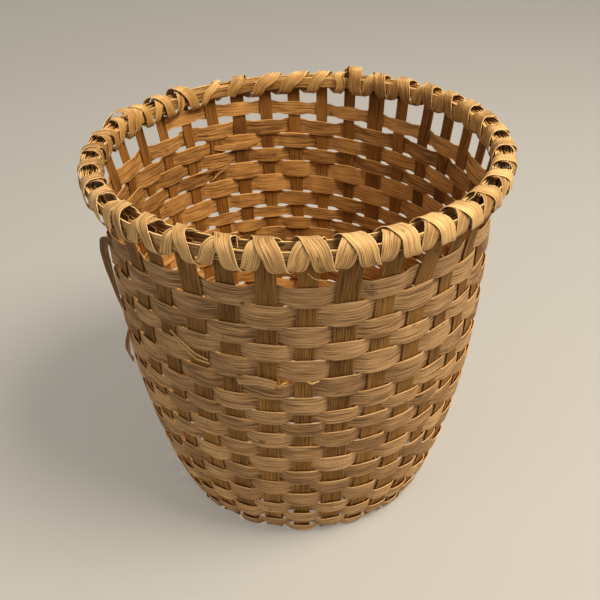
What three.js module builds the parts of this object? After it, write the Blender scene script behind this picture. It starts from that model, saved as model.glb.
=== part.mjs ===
// A round, tapered basket plaited from flat wood splints, in millimetres, +Z up.
// The origin is on the floor, under the middle of the base.
// Eighteen long splints cross in the base and stand up as thirty-six stakes.
// Rings of weaver splint pass in and out of the stakes, and the rim is a bundle
// of hoops bound with two lashings that cross over every stake.

import * as THREE from 'three';

// Driving dimensions of the whole basket
const basketHeight = 400;
const rimRadius = 199;
const flareWidth = 7;
const footRadius = 149.5;
const wallRoundness = 2.9;
const stakeTwist = THREE.MathUtils.degToRad(4.4);

// Stakes crowd towards the corners of the square-plaited base, less and less up the wall
const footCrowding = THREE.MathUtils.degToRad(2.2);
const crowdingHeight = 145;

// Stakes: long splints that run down one wall, across the base and up the other
const splintsEachWay = 9;
const stakeWidth = 17.5;
const stakeThickness = 1.2;
const footHeight = 5;
const footBendDepth = 7;

// Weavers: one ring of splint a row, each strip as wide as it was cut, lowest first
const weaverWidths = [9, 12, 17, 17.5, 21, 19, 19, 19, 18, 17, 14, 13, 18, 21, 20.5, 16, 18, 20.5, 19];
const weaverThickness = 1;
const rowGap = 1;
const openBandHeight = 17;
const crowdedSlack = 0.5;

// Rim: hoops and filler strips on both sides of the stake ends
const fillerHeight = 24;
const fillerThickness = 4.2;
const hoopHeight = 18;
const hoopThickness = 3.8;

// Lashings: two flat strips wound round the rim in opposite hands
const lashingWidth = 14;
const lashingThickness = 1;
const lashingEndGap = 0.12;

// Loose tail of splint that hangs down outside the wall
const tailWidth = 8;
const tailThickness = 1;
const tailAzimuth = THREE.MathUtils.degToRad(-73);
const tailBow = 6;
const tailDrop = 196;
const tailBowShare = 0.6;
const tailSteps = 14;

// Clearance kept between pieces that touch
const clearance = 0.3;

// Values worked out from the driving dimensions
const stakeCount = 4 * splintsEachWay;
const stakeStep = (2 * Math.PI) / stakeCount;
const middleSplint = (splintsEachWay - 1) / 2;
const bellyRadius = rimRadius - flareWidth;
const lashingLayer = lashingThickness + clearance;
const rimTop = basketHeight - 2 * lashingLayer;
const rimBottom = rimTop - fillerHeight;
const rimMiddle = (rimTop + rimBottom) / 2;
const flareTop = rimBottom - 2 * lashingLayer - clearance;
const wovenLimit = flareTop - openBandHeight;

const tan = '#a98256';
const brown = '#8a6238';
const light = '#c09a66';

function material(color) {
  return new THREE.MeshStandardMaterial({ color, roughness: 0.75, metalness: 0 });
}

// A closed solid through four-cornered sections, with its faces pointing out
function prism(sections, closed) {
  const sides = sections[0].length;
  const positions = sections.flatMap((section) => section.flatMap((corner) => corner.toArray()));
  const index = [];
  const steps = closed ? sections.length : sections.length - 1;
  for (let i = 0; i < steps; i += 1) {
    const here = i * sides;
    const next = ((i + 1) % sections.length) * sides;
    for (let s = 0; s < sides; s += 1) {
      const t = (s + 1) % sides;
      index.push(here + s, next + s, next + t, here + s, next + t, here + t);
    }
  }
  if (!closed) {
    const end = (sections.length - 1) * sides;
    for (let s = 1; s < sides - 1; s += 1) {
      index.push(0, s, s + 1, end, end + s + 1, end + s);
    }
  }
  if (signedVolume(sections.flat(), index) < 0) {
    index.reverse();
  }
  const geometry = new THREE.BufferGeometry();
  geometry.setAttribute('position', new THREE.Float32BufferAttribute(positions, 3));
  geometry.setIndex(index);
  geometry.computeVertexNormals();
  return geometry;
}

function signedVolume(corners, index) {
  let volume = 0;
  for (let i = 0; i < index.length; i += 3) {
    const [a, b, c] = [corners[index[i]], corners[index[i + 1]], corners[index[i + 2]]];
    volume += a.dot(b.clone().cross(c)) / 6;
  }
  return volume;
}

// The four corners of a flat strip: across is the way of its width, out of its thickness
function stripSection(centre, across, out, width, thickness) {
  const w = across.clone().multiplyScalar(width / 2);
  const t = out.clone().multiplyScalar(thickness / 2);
  return [
    centre.clone().add(w).add(t),
    centre.clone().sub(w).add(t),
    centre.clone().sub(w).sub(t),
    centre.clone().add(w).sub(t),
  ];
}

// Azimuth 0 is the front of the basket, at -Y, and turns towards +X
function radial(azimuth) {
  return new THREE.Vector3(Math.sin(azimuth), -Math.cos(azimuth), 0);
}

function tangential(azimuth) {
  return new THREE.Vector3(Math.cos(azimuth), Math.sin(azimuth), 0);
}

function polar(radius, azimuth, z) {
  return radial(azimuth).multiplyScalar(radius).setZ(z);
}

// Rows: they stack from the foot until the open band under the rim
function stackRows() {
  const rows = [];
  let bottom = footHeight + rowGap / 2;
  let width = weaverWidths[0];
  while (bottom + width < wovenLimit) {
    rows.push({ number: rows.length + 1, bottom, top: bottom + width });
    bottom += width + rowGap;
    width = weaverWidths[rows.length % weaverWidths.length];
  }
  return rows;
}

const rows = stackRows();
const wovenTop = rows[rows.length - 1].top + rowGap / 2;

// Wall: straight between stations that lie in the gaps between rows
const rowsPerStation = 3;

function smoothWall(z) {
  const rise = THREE.MathUtils.clamp((z - footHeight) / (wovenTop - footHeight), 0, 1);
  return footRadius + (bellyRadius - footRadius) * (1 - (1 - rise) ** wallRoundness);
}

function smoothCrowding(z) {
  return footCrowding * (1 - THREE.MathUtils.smoothstep(z, footHeight, crowdingHeight));
}

function wallStations() {
  const heights = [footHeight];
  for (let j = rowsPerStation; j <= rows.length - rowsPerStation; j += rowsPerStation) {
    heights.push(rows[j].bottom - rowGap / 2);
  }
  heights.push(wovenTop);
  const stations = heights.map((z) => ({ z, r: smoothWall(z), crowding: smoothCrowding(z) }));
  [flareTop, rimTop - clearance].forEach((z) => {
    stations.push({ z, r: rimRadius, crowding: smoothCrowding(z) });
  });
  return stations;
}

const stations = wallStations();

function wallSegment(z) {
  let i = 0;
  while (i < stations.length - 2 && z > stations[i + 1].z) {
    i += 1;
  }
  return [stations[i], stations[i + 1]];
}

function wallRadius(z) {
  const [low, high] = wallSegment(z);
  return THREE.MathUtils.mapLinear(z, low.z, high.z, low.r, high.r);
}

function wallLean(z) {
  const [low, high] = wallSegment(z);
  return Math.atan2(high.r - low.r, high.z - low.z);
}

function wallOut(azimuth, lean) {
  return radial(azimuth).multiplyScalar(Math.cos(lean)).setZ(-Math.sin(lean));
}

// Stakes lean sideways a little, so their azimuth grows with height
function stakeAzimuth(place, z) {
  const [low, high] = wallSegment(z);
  const crowding = THREE.MathUtils.mapLinear(z, low.z, high.z, low.crowding, high.crowding);
  const twist = (stakeTwist * (z - footHeight)) / (rimTop - footHeight);
  return place * stakeStep + twist + crowding * Math.sin(4 * place * stakeStep);
}

// Base: strips lie in two levels, the lower one flat on the floor
const lowLevel = stakeThickness / 2;
const highLevel = lowLevel + stakeThickness + clearance;
const flatEndRadius = footRadius - footBendDepth;
const crossingHalf = stakeWidth / 2 + clearance;

function splintOffset(i) {
  return footRadius * Math.sin(stakeAzimuth(i - middleSplint, footHeight));
}

// The wall half of a splint, from the floor up, at a place counted in stake steps
function stakeSections(place, side) {
  const azimuth = stakeAzimuth(place, footHeight);
  const turn = azimuth - Math.round(place / splintsEachWay) * splintsEachWay * stakeStep;
  const middleAcross = tangential(azimuth - turn / 2).multiplyScalar(side);
  const bendOut = wallOut(azimuth - turn / 2, Math.PI / 4);
  const bendRadius = footRadius - footBendDepth * (1 - Math.SQRT1_2);
  const bendHeight = lowLevel + (footHeight - lowLevel) * (1 - Math.SQRT1_2);
  const bend = stripSection(
    polar(bendRadius, azimuth, bendHeight),
    middleAcross,
    bendOut,
    stakeWidth,
    stakeThickness,
  );
  const wall = stations.map((station, i) => {
    const below = i > 0 ? wallLean((station.z + stations[i - 1].z) / 2) : wallLean(station.z);
    const above = i < stations.length - 1 ? wallLean((station.z + stations[i + 1].z) / 2) : below;
    const at = stakeAzimuth(place, station.z);
    return stripSection(
      polar(station.r, at, station.z),
      tangential(at).multiplyScalar(side),
      wallOut(at, (below + above) / 2),
      stakeWidth,
      stakeThickness,
    );
  });
  return [bend, ...wall];
}

// A splint i of the front-to-back family, or of the side-to-side one
function splintGeometry(i, sideToSide) {
  const offset = splintOffset(i);
  const front = i - middleSplint;
  const half = stakeCount / 2;
  const quarter = stakeCount / 4;
  const along = sideToSide ? new THREE.Vector3(1, 0, 0) : new THREE.Vector3(0, 1, 0);
  const across = sideToSide ? new THREE.Vector3(0, -1, 0) : new THREE.Vector3(1, 0, 0);
  const down = new THREE.Vector3(0, 0, -1);
  const startPlace = sideToSide ? front - quarter : front;
  const endPlace = sideToSide ? quarter - front : half - front;
  const section = (s, z) => stripSection(
    along.clone().multiplyScalar(s).addScaledVector(across, offset).setZ(z),
    across,
    down,
    stakeWidth,
    stakeThickness,
  );
  const base = [];
  let level = lowLevel;
  for (let j = 0; j < splintsEachWay; j += 1) {
    const parity = sideToSide ? i + j + splintsEachWay : i + j;
    level = parity % 2 === 0 ? lowLevel : highLevel;
    const crossing = splintOffset(j);
    if (j === 0) {
      base.push(section(-flatEnd(offset), level));
    }
    if (j > 0) {
      base.push(section(crossing - crossingHalf, level));
    }
    if (j < splintsEachWay - 1) {
      base.push(section(crossing + crossingHalf, level));
    }
  }
  base.push(section(flatEnd(offset), level));
  const start = stakeSections(startPlace, 1).reverse();
  const end = stakeSections(endPlace, -1);
  return prism([...start, ...base, ...end], false);
}

function flatEnd(offset) {
  const circle = Math.sqrt(Math.max(flatEndRadius ** 2 - offset ** 2, 0));
  return Math.max(circle, splintOffset(splintsEachWay - 1) + crossingHalf);
}

// How far the middle of a weaver lies from the middle of a stake that it touches
const weaverTouch = (stakeThickness + weaverThickness) / 2 + clearance;

// How far a weaver with one corner a stake stands out of, and in from, the stakes so
// that its straight runs clear the edges of the flat stakes on both sides
function weaverReach(radius) {
  const spacing = radius * stakeStep;
  const share = stakeWidth / 2 / spacing;
  const sag = ((stakeWidth / 2) * (spacing - stakeWidth / 2)) / (2 * radius);
  const edgeRise = (stakeWidth / 2) ** 2 / (2 * radius);
  const outNeed = weaverTouch + sag + edgeRise;
  const inNeed = weaverTouch - sag - edgeRise;
  const near = 1 - share;
  const spread = near * near - share * share;
  return {
    outside: (near * outNeed + share * inNeed) / spread,
    inside: (near * inNeed + share * outNeed) / spread,
  };
}

function passesOutside(row, stake) {
  return (rows.length - row.number + stake - Math.floor(middleSplint)) % 2 === 0;
}

// A weaver bends at the middle of each stake or, where the stakes crowd, at both its edges
function weaverGeometry(row) {
  const middle = (row.bottom + row.top) / 2;
  const lean = wallLean(middle);
  const width = (row.top - row.bottom) / Math.cos(lean);
  const crowded = row.bottom < crowdingHeight;
  const reach = weaverReach(wallRadius(row.bottom));
  const outside = crowded ? weaverTouch + crowdedSlack : reach.outside;
  const inside = crowded ? weaverTouch : reach.inside;
  const edge = stakeWidth / 2 + clearance;
  const bends = crowded ? [-edge, edge] : [0];
  const sections = [];
  for (let stake = 0; stake < stakeCount; stake += 1) {
    const azimuth = stakeAzimuth(stake - middleSplint, middle);
    const offset = passesOutside(row, stake) ? outside : -inside;
    const out = wallOut(azimuth, lean);
    const up = polar(Math.sin(lean), azimuth, Math.cos(lean));
    bends.forEach((aside) => {
      const centre = polar(wallRadius(middle), azimuth, middle)
        .addScaledVector(out, offset)
        .addScaledVector(tangential(azimuth), aside);
      sections.push(stripSection(centre, up, out, width, weaverThickness));
    });
  }
  return prism(sections, true);
}

// A ring of the rim, flat against the stakes, with its corners between them
function ringGeometry(innerRadius, outerRadius, height) {
  const toCorner = 1 / Math.cos(stakeStep / 2);
  const sections = [];
  for (let stake = 0; stake < stakeCount; stake += 1) {
    const azimuth = stakeAzimuth(stake + 0.5 - middleSplint, rimMiddle);
    const centre = polar(((innerRadius + outerRadius) / 2) * toCorner, azimuth, rimMiddle);
    const thickness = (outerRadius - innerRadius) * toCorner;
    sections.push(stripSection(centre, new THREE.Vector3(0, 0, 1), radial(azimuth), height, thickness));
  }
  return prism(sections, true);
}

const stakeFace = stakeThickness / 2 + clearance;
const fillerOut = stakeFace + fillerThickness;
const hoopIn = fillerOut + clearance;
const hoopOut = hoopIn + hoopThickness;

// The outline that a lashing follows round the rim, as an eight-cornered loop
function lashingLoop(spacing) {
  const slope = new THREE.Vector2(fillerHeight - hoopHeight, 2 * (hoopOut - fillerOut)).normalize();
  const reach = slope.x * fillerOut + (slope.y * fillerHeight) / 2 + spacing;
  const top = fillerHeight / 2 + spacing;
  const side = hoopOut + spacing;
  const topCorner = (reach - slope.y * top) / slope.x;
  const sideCorner = (reach - slope.x * side) / slope.y;
  return [
    [topCorner, -top],
    [side, -sideCorner],
    [side, sideCorner],
    [topCorner, top],
    [-topCorner, top],
    [-side, sideCorner],
    [-side, -sideCorner],
    [-topCorner, -top],
  ];
}

function loopLengths(loop) {
  const lengths = loop.map(([x, z], i) => {
    const [nextX, nextZ] = loop[(i + 1) % loop.length];
    return Math.hypot(nextX - x, nextZ - z);
  });
  return { lengths, total: lengths.reduce((sum, length) => sum + length, 0) };
}

// One lashing: hand is +1 or -1, layer counts outwards from the hoops
function lashingGeometry(hand, layer) {
  const inner = clearance + layer * lashingLayer;
  const innerLoop = lashingLoop(inner);
  const outerLoop = lashingLoop(inner + lashingThickness);
  const { lengths, total } = loopLengths(innerLoop);
  const advance = rimRadius * stakeStep;
  const halfAcross = (lashingWidth / 2 / Math.cos(Math.atan2(advance, total))) / rimRadius;
  const toCorner = 1 / Math.cos(stakeStep / 2);
  const place = (point, azimuth) => {
    const radius = rimRadius + point[0];
    return polar(point[0] > 0 ? (radius + clearance / 2) * toCorner : radius, azimuth, rimMiddle + point[1]);
  };
  const sections = [];
  for (let turn = 0; turn < stakeCount; turn += 1) {
    let travelled = lengths[lengths.length - 1] / 2;
    for (let i = 0; i < innerLoop.length; i += 1) {
      const places = stakeCount / 2 + 0.5 - middleSplint + hand * (turn + travelled / total);
      const azimuth = stakeAzimuth(places, rimMiddle);
      if (turn + travelled / total < stakeCount - lashingEndGap) {
        sections.push([
          place(innerLoop[i], azimuth + halfAcross),
          place(innerLoop[i], azimuth - halfAcross),
          place(outerLoop[i], azimuth - halfAcross),
          place(outerLoop[i], azimuth + halfAcross),
        ]);
      }
      travelled += lengths[i];
    }
  }
  return prism(sections, false);
}

// The loose tail starts under the rim, bows out and lies down against the weavers
function tailGeometry() {
  const top = flareTop - clearance;
  const sections = [];
  for (let i = 0; i <= tailSteps; i += 1) {
    const share = i / tailSteps;
    const z = top - share * tailDrop;
    const wall = wallRadius(z);
    const touching = weaverReach(wall).outside + (weaverThickness + tailThickness) / 2 + clearance;
    const bow = tailBow * Math.sin(Math.PI * Math.min(share / tailBowShare, 1));
    const centre = polar(wall + touching + bow, tailAzimuth, z);
    const across = tangential(tailAzimuth);
    sections.push(stripSection(centre, across, radial(tailAzimuth), tailWidth, tailThickness));
  }
  return prism(sections, false);
}

const basket = new THREE.Group();

function add(name, geometry, color) {
  const mesh = new THREE.Mesh(geometry, material(color));
  mesh.name = name;
  basket.add(mesh);
}

function twoDigits(number) {
  return String(number).padStart(2, '0');
}

for (let i = 0; i < splintsEachWay; i += 1) {
  add(`splint_front_back_${i + 1}`, splintGeometry(i, false), brown);
  add(`splint_side_side_${i + 1}`, splintGeometry(i, true), brown);
}

rows.forEach((row) => {
  add(`weaver_row_${twoDigits(row.number)}`, weaverGeometry(row), tan);
});

add('rim_inner_filler', ringGeometry(rimRadius - fillerOut, rimRadius - stakeFace, fillerHeight), light);
add('rim_outer_filler', ringGeometry(rimRadius + stakeFace, rimRadius + fillerOut, fillerHeight), light);
add('rim_inner_hoop', ringGeometry(rimRadius - hoopOut, rimRadius - hoopIn, hoopHeight), tan);
add('rim_outer_hoop', ringGeometry(rimRadius + hoopIn, rimRadius + hoopOut, hoopHeight), tan);
add('rim_lashing_under', lashingGeometry(1, 0), light);
add('rim_lashing_over', lashingGeometry(-1, 1), light);
add('loose_tail', tailGeometry(), tan);

export default basket;
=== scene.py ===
# %% [markdown]
# A plaited basket of flat wood splints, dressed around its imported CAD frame.
# The whole basket is one idea repeated: a thin strip of split wood that follows a path.
# Eighteen long strips cross in the base and stand up as stakes, nineteen rows pass in and
# out of them, and the rim is a bundle of strips on edge bound by two more.
# So the lesson builds one "strip skin" in Geometry Nodes and then feeds it path after path.

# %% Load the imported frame
import math

import bmesh
import bpy
import numpy as np
from mathutils import Matrix, Vector


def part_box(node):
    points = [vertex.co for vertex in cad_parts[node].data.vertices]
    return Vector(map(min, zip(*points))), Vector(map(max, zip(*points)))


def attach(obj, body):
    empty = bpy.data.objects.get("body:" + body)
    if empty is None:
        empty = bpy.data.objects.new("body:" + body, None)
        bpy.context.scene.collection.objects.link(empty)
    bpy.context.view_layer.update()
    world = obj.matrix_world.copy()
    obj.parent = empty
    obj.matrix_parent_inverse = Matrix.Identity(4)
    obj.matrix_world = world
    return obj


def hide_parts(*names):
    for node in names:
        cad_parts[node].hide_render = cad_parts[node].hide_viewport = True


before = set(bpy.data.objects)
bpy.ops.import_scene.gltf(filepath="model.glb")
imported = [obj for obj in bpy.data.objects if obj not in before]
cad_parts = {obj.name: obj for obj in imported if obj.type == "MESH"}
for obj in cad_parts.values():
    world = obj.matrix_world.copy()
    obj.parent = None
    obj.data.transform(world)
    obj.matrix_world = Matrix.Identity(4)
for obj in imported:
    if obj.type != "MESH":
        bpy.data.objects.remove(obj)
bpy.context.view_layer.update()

# %% [markdown]
# The camera stands where the photograph was taken: in front of the basket, about 0.7 m up,
# looking down by 34 degrees, with a very small roll.
# It could be aimed with a Track To constraint, but the fitted angles are known, so its axes
# are written straight into its matrix.

# %% Place the camera
scene = bpy.context.scene
scene.view_settings.view_transform = "Standard"
MM = 0.001


def new_object(name, data):
    """An object with its data, linked to the scene."""
    thing = bpy.data.objects.new(name, data)
    scene.collection.objects.link(thing)
    return thing


camera_place = Vector((25.6, -700.2, 688.4)) * MM
camera_heading = Vector((-0.0257, 0.9997, 0)).normalized()
camera_pitch = math.radians(34.27)
camera_roll = -0.0189

forward = camera_heading * math.cos(camera_pitch) - Vector((0, 0, math.sin(camera_pitch)))
level_right = camera_heading.cross(Vector((0, 0, 1)))
level_up = level_right.cross(forward)
right = level_right * math.cos(camera_roll) + level_up * math.sin(camera_roll)
up = level_up * math.cos(camera_roll) - level_right * math.sin(camera_roll)

camera = new_object("camera", bpy.data.cameras.new("camera"))
camera.data.sensor_width = 36
camera.data.lens = 45.47
camera.data.shift_x = -0.0126
camera.data.shift_y = -0.0053
camera.matrix_world = Matrix((right, up, -forward)).transposed().to_4x4()
camera.matrix_world.translation = camera_place
scene.camera = camera
print("camera", [round(value, 3) for value in camera.matrix_world.translation])

# %% [markdown]
# The wall is a smooth, rounded cone: it opens quickly above the foot, hardly at all near the
# top, and flares once more under the rim. The stakes lean sideways a little and crowd
# towards the corners of the square base. These few rules place every strip of the basket.

# %% Describe the wall and the stakes
stake_count = 36
splints_each_way = 9
middle_splint = 4
stake_step = math.tau / stake_count
foot_radius = 149.5 * MM
foot_height = 5 * MM
belly_radius = 192 * MM
wall_roundness = 2.9
rim_radius = 199 * MM
flare_height = 24 * MM
stake_twist = math.radians(4.4)
foot_crowding = math.radians(2.2)
crowding_height = 145 * MM
back_offset = math.radians(2.2)
back_untwist = math.radians(3.6)
back_settles = 90 * MM
back_sharpness = 1.5
rim_rise = 6 * MM
rim_rise_side = math.radians(120)
rim_rise_sharpness = 3.0
stake_thickness = 1.2 * MM
weaver_thickness = 1.0 * MM

row_count = sum(name.startswith("weaver_row_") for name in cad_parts)
woven_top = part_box(f"weaver_row_{row_count:02d}")[1].z
rim_low, rim_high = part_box("rim_inner_filler")
rim_middle = (rim_low.z + rim_high.z) / 2
flare_start = woven_top - flare_height
stake_top = rim_middle + 7 * MM


def ease(value):
    """A smooth step from 0 to 1."""
    value = np.clip(value, 0, 1)
    return value * value * (3 - 2 * value)


def wall_radius(z):
    rise = np.clip((z - foot_height) / (woven_top - foot_height), 0, 1)
    woven = foot_radius + (belly_radius - foot_radius) * (1 - (1 - rise) ** wall_roundness)
    flare = ease((z - flare_start) / (rim_middle - flare_start))
    return woven + (rim_radius - belly_radius) * flare


def wall_lean(z):
    reach = 2 * MM
    return np.arctan2(wall_radius(z + reach) - wall_radius(z - reach), 2 * reach)


def crowding(z):
    return foot_crowding * (1 - ease((z - foot_height) / (crowding_height - foot_height)))


def twist(z):
    return stake_twist * (z - foot_height) / (rim_high.z - foot_height)


def back_shift(z):
    """How far the stakes at the back stand round from where the even twist puts them."""
    share = (z - foot_height) / (rim_high.z - foot_height)
    return back_offset * ease((z - foot_height) / back_settles) - back_untwist * share


def stake_azimuth(place, z):
    """The way round the basket of a stake: place 0 is the front one, and it turns to +X."""
    even = place * stake_step
    behind = (0.5 - 0.5 * np.cos(even)) ** back_sharpness
    return even + twist(z) + crowding(z) * np.sin(4 * even) + behind * back_shift(z)


def rim_lift(azimuth):
    """The rim's gentle rise on the right and behind."""
    return rim_rise * (0.5 + 0.5 * np.cos(azimuth - rim_rise_side)) ** rim_rise_sharpness


def radial(azimuth):
    return np.array([np.sin(azimuth), -np.cos(azimuth), 0 * azimuth]).T


print("rows", row_count, "woven top", round(woven_top, 4), "rim middle", round(rim_middle, 4))

# %% [markdown]
# Node trees are easier to read as sums than as boxes and wires.
# This small class stands for one wire: adding or multiplying two wires makes the Math node
# that does it. It serves the Geometry Nodes here and the materials later.

# %% Write formulas as wires
class Wire:
    def __init__(self, tree, socket):
        self.tree = tree
        self.socket = socket

    def run(self, operation, *others):
        sockets = dict(enumerate((self, *others)))
        return add_node(self.tree, "ShaderNodeMath", sockets, operation=operation)

    def __add__(self, other):
        return self.run("ADD", other)

    def __sub__(self, other):
        return self.run("SUBTRACT", other)

    def __mul__(self, other):
        return self.run("MULTIPLY", other)

    def __neg__(self):
        return self.run("MULTIPLY", -1.0)


def plug(value, socket):
    if isinstance(value, Wire):
        value.tree.links.new(value.socket, socket)
    else:
        socket.default_value = value


def add_node(tree, kind, sockets=None, output=0, **settings):
    """Adds a node with its settings, fills its sockets, and gives the wire that leaves it."""
    node = tree.nodes.new(kind)
    for name, value in settings.items():
        setattr(node, name, value)
    for key, value in (sockets or {}).items():
        plug(value, node.inputs[key])
    return Wire(tree, node.outputs[output])


def vector_of(tree, x, y, z):
    return add_node(tree, "ShaderNodeCombineXYZ", {0: x, 1: y, 2: z})


def parts_of(tree, vector):
    """The X, Y and Z of a vector, as three wires."""
    node = add_node(tree, "ShaderNodeSeparateXYZ", {0: vector}).socket.node
    return [Wire(tree, output) for output in node.outputs]


def vector_run(tree, operation, *values, output=0):
    sockets = dict(enumerate(values))
    return add_node(tree, "ShaderNodeVectorMath", sockets, output, operation=operation)


def stretch(tree, vector, factor):
    sockets = {0: vector, "Scale": factor}
    return add_node(tree, "ShaderNodeVectorMath", sockets, operation="SCALE")


def noise(tree, x, y, z, detail=0.0):
    """Smooth noise from about -0.5 to 0.5 that changes once a unit."""
    sockets = {"Vector": vector_of(tree, x, y, z), "Scale": 1.0, "Detail": detail}
    return add_node(tree, "ShaderNodeTexNoise", sockets) - 0.5


def ramp(tree, value, low, high, kind="SMOOTHSTEP"):
    """0 below low, 1 above high, and smooth between, or straight where kind is LINEAR."""
    sockets = {"Value": value, "From Min": low, "From Max": high}
    return add_node(tree, "ShaderNodeMapRange", sockets, interpolation_type=kind)


print("wire helpers", [helper.__name__ for helper in (vector_of, parts_of, noise, ramp)])

# %% [markdown]
# The cross-section of a splint is a flat bar with slightly rounded corners.
# It is drawn once, 2 units wide and 2 thick, so that its Y says how far across the strip a
# point lies and its X says which face it is on.

# %% Draw the section of a splint
face_stops = (-0.97, -0.85, -0.64, -0.43, -0.21, 0.0, 0.21, 0.43, 0.64, 0.85, 0.97)
section_corners = [(1.0, y) for y in face_stops] + [(0.45, 1.0), (-0.45, 1.0)]
section_corners += [(-1.0, -y) for y in face_stops] + [(-0.45, -1.0), (0.45, -1.0)]
section_mesh = bpy.data.meshes.new("splint_section")
section_mesh.from_pydata(
    [(x, y, 0) for x, y in section_corners],
    [(i, (i + 1) % len(section_corners)) for i in range(len(section_corners))],
    [],
)
section = bpy.data.objects.new("splint_section", section_mesh)
print("section corners", len(section_corners))

# %% [markdown]
# The strip skin is the main tool. Curve to Mesh sweeps the section along a path, and then
# every point is set from the values that the path carries: its width, its thickness and the
# way that it faces. Each edge wanders on its own and the faces get fine lengthwise ridges,
# because splint is split along the grain and not sawn.
# The skin also leaves two attributes for the materials: "grain", in metres along, across
# and through the wood, and "edge", which marks the cut edges that are painted paler: partly
# the paler cut wood, partly a painted highlight.

# %% Write the tools for Geometry Nodes
GEOMETRY = "NodeSocketGeometry"
FLOAT = "NodeSocketFloat"
WHOLE = "NodeSocketInt"
MATERIAL = "NodeSocketMaterial"
VECTOR = "FLOAT_VECTOR"


def new_tree(name, inputs, kind="GeometryNodeTree", outputs=(("Geometry", GEOMETRY),)):
    """A node tree with named inputs and outputs, and the wires that come in."""
    tree = bpy.data.node_groups.new(name, kind)
    for label, socket_type in inputs:
        tree.interface.new_socket(label, in_out="INPUT", socket_type=socket_type)
    for label, socket_type in outputs:
        tree.interface.new_socket(label, in_out="OUTPUT", socket_type=socket_type)
    entry = tree.nodes.new("NodeGroupInput")
    return tree, {label: Wire(tree, entry.outputs[label]) for label, _ in inputs}


def finish_tree(tree, wires):
    leave = tree.nodes.new("NodeGroupOutput")
    for label, wire in wires.items():
        plug(wire, leave.inputs[label])


def carried(tree, name, kind="FLOAT"):
    return add_node(tree, "GeometryNodeInputNamedAttribute", {"Name": name}, data_type=kind)


def carry(tree, geometry, name, value, kind="FLOAT"):
    sockets = {"Geometry": geometry, "Name": name, "Value": value}
    store = "GeometryNodeStoreNamedAttribute"
    return add_node(tree, store, sockets, data_type=kind, domain="POINT")


def move(tree, geometry, place):
    return add_node(tree, "GeometryNodeSetPosition", {"Geometry": geometry, "Position": place})


skin_inputs = [
    ("Path", GEOMETRY),
    ("Edge wander", FLOAT),
    ("Ridge height", FLOAT),
    ("Seed", FLOAT),
    ("Finish", MATERIAL),
]
print("skin inputs", [label for label, _ in skin_inputs])

# %% Build the strip skin
# How often the noise changes in a metre: along an edge, along a ridge and across the ridges.
edge_rate = 22.0
ridge_rate = 9.0
ridges_across = 640.0

# How far apart the two edges, the two faces and the pieces lie in the noise.
edges_apart = 7.3
faces_apart = 3.1
pieces_apart = 0.37

skin, given = new_tree("strip_skin", skin_inputs)
position = add_node(skin, "GeometryNodeInputPosition")
tangent = add_node(skin, "GeometryNodeInputTangent")
facing = carried(skin, "facing", VECTOR)
side = vector_run(skin, "NORMALIZE", vector_run(skin, "CROSS_PRODUCT", tangent, facing))
outward = vector_run(skin, "CROSS_PRODUCT", side, tangent)
path = given["Path"]
for label, vector in (("side", side), ("outward", outward), ("spine", position)):
    path = carry(skin, path, label, vector, VECTOR)
length = add_node(skin, "GeometryNodeSplineParameter", output="Length")
path = carry(skin, path, "along", length)
outline = add_node(skin, "GeometryNodeObjectInfo", {"Object": section}, output="Geometry")
outline = add_node(skin, "GeometryNodeMeshToCurve", {"Mesh": outline})
section_x, section_y, _ = parts_of(skin, position)
outline = carry(skin, outline, "depth", section_x)
outline = carry(skin, outline, "across", section_y)
swept = add_node(
    skin, "GeometryNodeCurveToMesh", {"Curve": path, "Profile Curve": outline, "Fill Caps": True}
)

along = carried(skin, "along")
across = carried(skin, "across")
depth = carried(skin, "depth")
which_edge = across.run("SIGN") * edges_apart
wander = noise(skin, along * edge_rate, which_edge, given["Seed"], detail=2.0)
half_width = carried(skin, "width") * 0.5 * (wander * given["Edge wander"] + 1.0)
half_thickness = carried(skin, "thickness") * 0.5
inner_part = -across.run("POWER", 12.0) + 1.0
which_ridge = across * half_width * ridges_across
which_face = given["Seed"] + depth.run("SIGN") * faces_apart
ridges = noise(skin, along * ridge_rate, which_ridge, which_face, detail=1.0)
through = depth * half_thickness + ridges * given["Ridge height"] * inner_part
sideways = stretch(skin, carried(skin, "side", VECTOR), across * half_width)
outwards = stretch(skin, carried(skin, "outward", VECTOR), through)
from_spine = vector_run(skin, "ADD", sideways, outwards)
place = vector_run(skin, "ADD", carried(skin, "spine", VECTOR), from_spine)
swept = move(skin, swept, place)
apart = depth * half_thickness + given["Seed"] * pieces_apart
grain = vector_of(skin, along, across * half_width, apart)
swept = carry(skin, swept, "grain", grain, VECTOR)
# The edge mask: paler cut wood, and also a painted highlight along the edges.
swept = carry(skin, swept, "edge", ramp(skin, across.run("ABSOLUTE"), 0.94, 1.0))
swept = add_node(skin, "GeometryNodeRealizeInstances", {"Geometry": swept})
swept = add_node(skin, "GeometryNodeSetMaterial", {"Geometry": swept, "Material": given["Finish"]})
finish_tree(skin, {"Geometry": swept})
print("strip skin nodes", len(skin.nodes))

# %% [markdown]
# A tree can be run by a modifier on any object. Here each run ends as a plain mesh: the
# evaluated result is copied out, the modifier goes, and the helper values go with it.

# %% Run a tree and keep a plain mesh
helper_values = (
    "side", "outward", "spine", "along", "depth", "across", "facing", "width", "thickness",
    "turn", "drift", "looseness",
)
sharp_edge = math.radians(48)


def wrap(tree, path, given):
    """Puts the strip skin round a path inside another tree."""
    sockets = {label: given[label] for label, _ in skin_inputs if label != "Path"}
    return add_node(tree, "GeometryNodeGroup", {"Path": path, **sockets}, node_tree=skin)


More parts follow.
